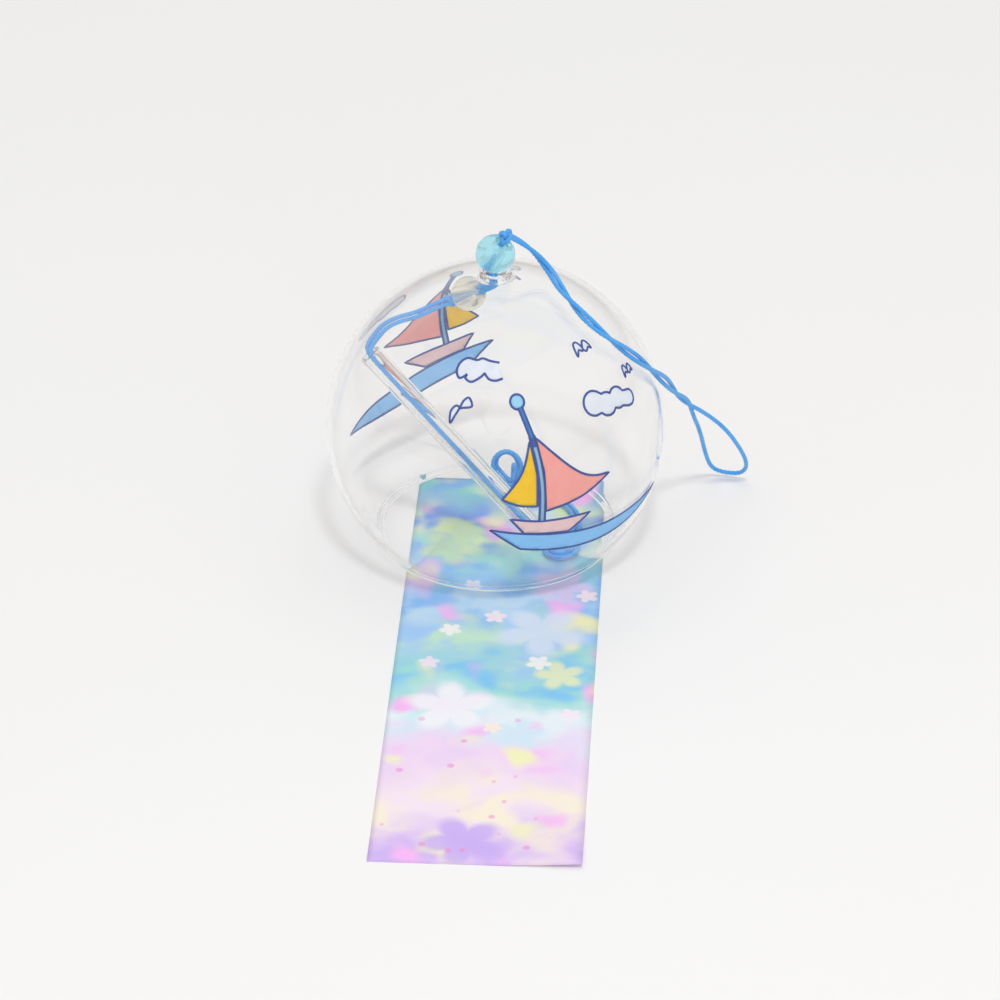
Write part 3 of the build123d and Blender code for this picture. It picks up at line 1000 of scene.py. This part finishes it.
def sheet_height(across, along):
    """How far the sheet's underside stands off the table: a fold over the tie and one lifted corner."""
    fold = max(0.0, 1 - abs(across) / fold_half_width) if 0 < along else 0.0
    fold_share = fold * fold * (3 - 2 * fold) * min(1.0, along / (1.2 * MM)) if fold else 0.0
    away = hypot(across - strip_width / 2, along - (hole_inset - strip_length)) / corner_reach
    lift = corner_lift * max(0.0, 1 - away) ** 2
    return fold_share * fold_height + lift


def strip_sheet(material):
    back, front, half = hole_inset, hole_inset - strip_length, strip_width / 2
    edge = [(-half, front), (half, front), (half, back), (-half, back), (-half, front)]
    rim = [Vector(point) for point in straight(*edge, spacing=sheet_grid)[:-1]]
    hole = [Vector(point) for point in arc(0, 0, strip_hole_radius, 0, 2 * pi, strip_hole_steps)[:-1]]
    inside = [Vector((-half + sheet_grid * i, front + sheet_grid * j))
              for i in range(1, int(strip_width / sheet_grid))
              for j in range(1, int(strip_length / sheet_grid))]
    inside += [Vector((fine_grid * i, fine_grid * j)) for i in range(-8, 9) for j in range(-8, 11)]
    inside = [p for p in inside if p.length > strip_hole_radius + 0.3 * fine_grid]
    edges = [(k, (k + 1) % len(rim)) for k in range(len(rim))]
    edges += [(len(rim) + k, len(rim) + (k + 1) % strip_hole_steps) for k in range(strip_hole_steps)]
    corners, _, faces, *_ = delaunay_2d_cdt(rim + hole + inside, edges, [], 1, 1e-7)
    faces = [face for face in faces
             if (sum((corners[i] for i in face), Vector((0, 0))) / 3).length > 0.985 * strip_hole_radius]
    under = [strip_hole + turn_strip @ Vector((p.x, p.y, sheet_height(p.x, p.y))) for p in corners]
    upper = [p + Vector((0, 0, strip_thickness)) for p in under]
    piece = closed_sheet("printed_strip", upper, under, faces, material)
    print_place = piece.data.uv_layers.new(name="print_place")
    for loop in piece.data.loops:
        p = corners[loop.vertex_index % len(corners)]
        print_place.data[loop.index].uv = ((p.x + half) / strip_width, (p.y - front) / strip_length)
    return piece


# %% Printed wash
petals = 5


def blossom_group():
    """A node group: how far a place is inside one blossom, from 0 outside to 1."""
    group = bpy.data.node_groups.new("blossom_shape", "ShaderNodeTree")
    for name, kind in (("Place", "Vector"), ("Middle", "Vector"), ("Size", "Float"), ("Turn", "Float"),
                       ("Softness", "Float")):
        group.interface.new_socket(name, in_out="INPUT", socket_type=f"NodeSocket{kind}")
    group.interface.new_socket("Cover", in_out="OUTPUT", socket_type="NodeSocketFloat")
    given = group.nodes.new("NodeGroupInput").outputs
    away = add_node(group, "ShaderNodeVectorMath", {0: given["Place"], 1: given["Middle"]},
                    operation="SUBTRACT").outputs[0]
    reach = add_node(group, "ShaderNodeVectorMath", {0: away}, operation="LENGTH").outputs["Value"]
    parts = add_node(group, "ShaderNodeSeparateXYZ", {0: away}).outputs
    angle = maths(group, "ADD", maths(group, "ARCTAN2", parts[1], parts[0]), given["Turn"])
    petal = maths(group, "ABSOLUTE", maths(group, "COSINE", maths(group, "MULTIPLY", angle, petals / 2)))
    edge = maths(group, "MULTIPLY", maths(group, "MULTIPLY_ADD", petal, 0.4, 0.6), given["Size"])
    depth = maths(group, "DIVIDE", maths(group, "SUBTRACT", edge, reach), given["Softness"])
    cover = smooth_step(group, depth, 0.0, 1.0)
    output = group.nodes.new("NodeGroupOutput")
    group.links.new(cover, output.inputs["Cover"])
    return group


# Each blossom: across and along in millimetres from the strip's near left corner, size, turn,
# softness and colour
blossoms = [
    (33, 92, 13.0, 0.3, 5.0, (222, 234, 252)), (14, 60, 12.0, 0.9, 4.5, (250, 250, 255)),
    (37, 112, 9.0, 0.1, 3.5, (222, 206, 246)), (20, 8, 11.0, 0.5, 4.0, (204, 176, 246)),
    (38, 74, 7.0, 0.7, 2.6, (236, 242, 196)), (30, 50, 8.0, 1.1, 4.0, (214, 238, 250)),
    (10, 128, 10.0, 0.2, 4.0, (206, 232, 190)), (32, 138, 11.0, 0.8, 4.5, (206, 228, 250)),
    (12, 92, 3.0, 0.4, 0.6, (255, 250, 250)), (22, 98, 3.0, 1.0, 0.6, (255, 238, 244)),
    (33, 79, 3.3, 0.2, 0.6, (255, 252, 246)), (43, 108, 3.0, 0.6, 0.6, (255, 232, 240)),
    (8, 78, 2.8, 0.9, 0.6, (246, 232, 250)), (24, 52, 2.6, 0.1, 0.6, (255, 240, 226)),
    (41, 58, 3.0, 0.5, 0.6, (252, 240, 250)), (16, 112, 2.6, 0.3, 0.6, (252, 244, 252)),
]


def wash_finish():
    material, tree = new_material("printed_card")
    place = add_node(tree, "ShaderNodeUVMap", uv_map="print_place").outputs[0]
    flat_size = (strip_width / MM, strip_length / MM, 0.0)
    size = add_node(tree, "ShaderNodeVectorMath", {0: place, 1: flat_size}, operation="MULTIPLY").outputs[0]
    along = add_node(tree, "ShaderNodeSeparateXYZ", {0: place}).outputs[1]
    drift = speckle(tree, size, 0.045, 2.0, distortion=0.6)
    sway = maths(tree, "MULTIPLY", maths(tree, "SUBTRACT", drift, 0.5), 0.26)
    pushed = maths(tree, "ADD", along, sway)
    first = colour_ramp(tree, pushed, [
        (0.0, (212, 184, 246)), (0.14, (250, 232, 246)), (0.26, (246, 220, 248)), (0.34, (214, 240, 250)),
        (0.42, (172, 228, 230)), (0.46, (134, 204, 246)), (0.54, (200, 236, 214)), (0.66, (140, 194, 252)),
        (0.78, (166, 226, 218)), (0.88, (118, 158, 240)), (1.0, (140, 218, 204))], "EASE")
    second = colour_ramp(tree, pushed, [
        (0.0, (234, 206, 248)), (0.12, (253, 243, 222)), (0.24, (240, 216, 250)), (0.36, (236, 246, 252)),
        (0.46, (166, 226, 220)), (0.55, (166, 208, 252)), (0.64, (196, 226, 250)), (0.74, (132, 188, 248)),
        (0.84, (220, 240, 190)), (1.0, (120, 176, 240))], "EASE")
    patch = speckle(tree, size, 0.085, 2.0, distortion=0.3)
    wash = mixed(tree, smooth_step(tree, patch, 0.38, 0.62), first, second)
    for scale, seed, colour in ((0.075, 4.0, (252, 188, 248)), (0.08, 9.0, (248, 246, 196))):
        stain = smooth_step(tree, speckle(tree, size, scale, 1.0, seed=seed), 0.58, 0.74)
        wash = mixed(tree, stain, wash, srgb(*colour))
    group = blossom_group()
    blossom_cover = 0.85
    for across, length_along, reach, turn, softness, colour in blossoms:
        shape = add_node(tree, "ShaderNodeGroup", node_tree=group)
        tree.links.new(size, shape.inputs["Place"])
        shape.inputs["Middle"].default_value = (across, length_along, 0)
        for name, value in (("Size", reach), ("Turn", turn), ("Softness", softness)):
            shape.inputs[name].default_value = value
        cover = maths(tree, "MULTIPLY", shape.outputs[0], blossom_cover)
        wash = mixed(tree, cover, wash, srgb(*colour))
    loose = add_node(tree, "ShaderNodeTexVoronoi", {"Vector": size, "Scale": 0.17, "Randomness": 1.0})
    near = smooth_step(tree, loose.outputs["Distance"], 0.17, 0.10)
    cover = maths(tree, "MULTIPLY", near, smooth_step(tree, along, 0.42, 0.30))
    wash = mixed(tree, maths(tree, "MULTIPLY", cover, 0.6), wash, srgb(238, 136, 212))
    grain = relief(tree, speckle(tree, size, 7.0, 4.0), 0.08, 0.1 * MM)
    finish_material(tree, principled(tree, Base_Color=wash, Roughness=0.5, Normal=grain))
    return material


strip = strip_sheet(wash_finish())
carried(strip, "strip", "printed_paper", "paper_strip")
print("strip:", len(strip.data.polygons), "faces")

# %% [markdown]
# The setting is a pale table. A small lamp high in front draws the shadows, and a wide one behind, a
# low one in front and the sky soften them. What the glass mirrors and bends is a bright room with a
# greyer band near the horizon, because clear glass on pure white has no edges at all.

# %% Table
def table_finish():
    material, tree = new_material("pale_table")
    soft = speckle(tree, object_place(tree), 5.0, 1.0)
    shade = mixed(tree, soft, srgb(250, 247, 245), srgb(248, 249, 249))
    finish_material(tree, principled(tree, Base_Color=shade, Roughness=0.8, Specular_IOR_Level=0.2))
    return material


table_reach = 3.0
table_corners = [(x * table_reach, y * table_reach, 0) for x, y in ((-1, -1), (1, -1), (1, 1), (-1, 1))]
table = mesh_piece("floor", table_corners, [(0, 1, 2, 3)], table_finish())
print("table laid")

# %% Light
def soft_lamp(name, place, aim, size, power):
    lamp = bpy.data.lights.new(name, "AREA")
    lamp.size = size
    lamp.energy = power
    holder = bpy.data.objects.new(name, lamp)
    holder.location = place
    holder.rotation_euler = (Vector(aim) - Vector(place)).to_track_quat("-Z", "Y").to_euler()
    holder.visible_glossy = False
    holder.visible_transmission = False
    bpy.context.collection.objects.link(holder)


soft_lamp("window", (0.10, -0.56, 1.17), (0, 0, 0.03), 0.14, 4.4)
soft_lamp("ceiling", (0, 0.7, 1.3), (0, 0.3, 0), 1.2, 4.0)
soft_lamp("fill", (0.1, -1.3, 0.45), (0, 0, 0.04), 0.8, 3.0)
world = bpy.data.worlds.new("room")
world.use_nodes = True
bpy.context.scene.world = world
room = world.node_tree
room.nodes.clear()
look = add_node(room, "ShaderNodeTexCoord").outputs["Generated"]
height = add_node(room, "ShaderNodeSeparateXYZ", {0: look}).outputs[2]
seen = colour_ramp(room, height, [(0.0, (200, 196, 190)), (0.2, (224, 222, 219)), (0.42, (252, 251, 250))])
rays = add_node(room, "ShaderNodeLightPath").outputs
shown = maths(room, "MAXIMUM", rays["Is Camera Ray"],
              maths(room, "MAXIMUM", rays["Is Glossy Ray"], rays["Is Transmission Ray"]))
sky_strength = 0.55
lit = add_node(room, "ShaderNodeBackground", {"Color": (1, 1, 1, 1), "Strength": sky_strength}).outputs[0]
mirrored = add_node(room, "ShaderNodeBackground", {"Color": seen, "Strength": 1.0}).outputs[0]
add_node(room, "ShaderNodeOutputWorld", {"Surface": shader_mix(room, shown, lit, mirrored)})
bpy.context.scene.view_settings.view_transform = "Standard"
print("lamps and room ready")
